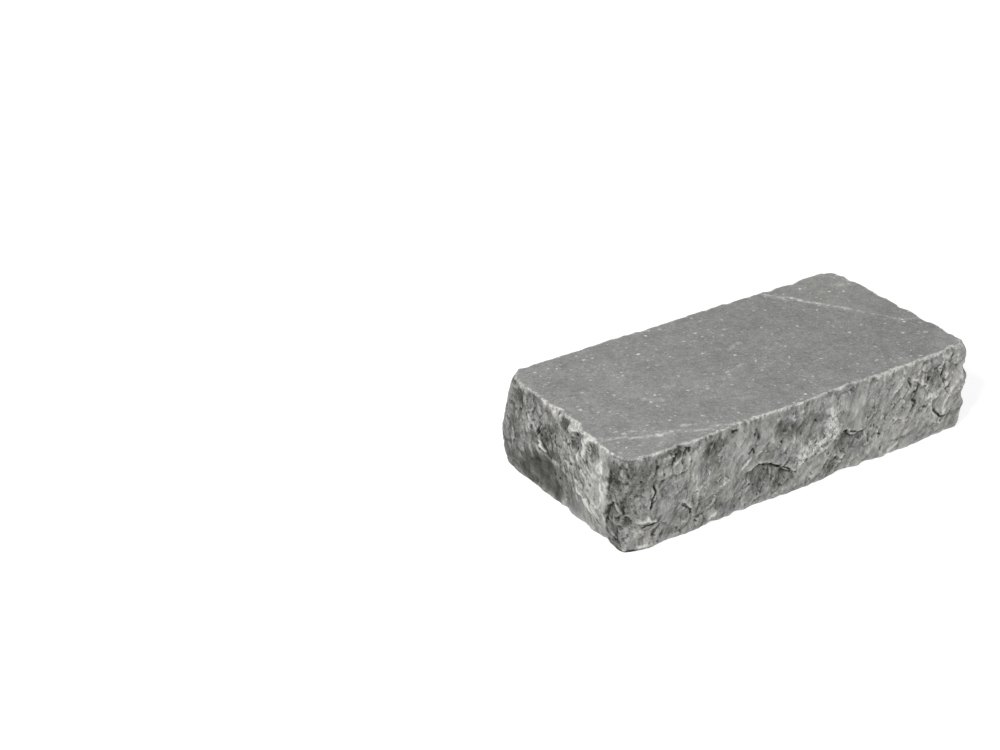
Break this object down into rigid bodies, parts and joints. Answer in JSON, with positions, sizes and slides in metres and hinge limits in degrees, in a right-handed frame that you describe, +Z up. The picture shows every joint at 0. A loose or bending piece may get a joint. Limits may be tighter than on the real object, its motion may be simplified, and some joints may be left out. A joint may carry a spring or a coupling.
{
  "type": "stone paver",
  "caption": "Grey sandstone paver with a sawn flat top and bed, rough split sides, chipped edges and broken corners.",
  "frame": {"origin": "centre of the part's bounding box, on the sawn bed it rests on", "axes": "+X along the length, +Y across the width towards the far long side, +Z up out of the sawn top"},
  "size_m": [0.2104, 0.105, 0.045],
  "materials": {
    "stone": "sawn top, split sides"
  },
  "bodies": {
    "root": {"paving_tile": "stone"}
  },
  "joints": []
}
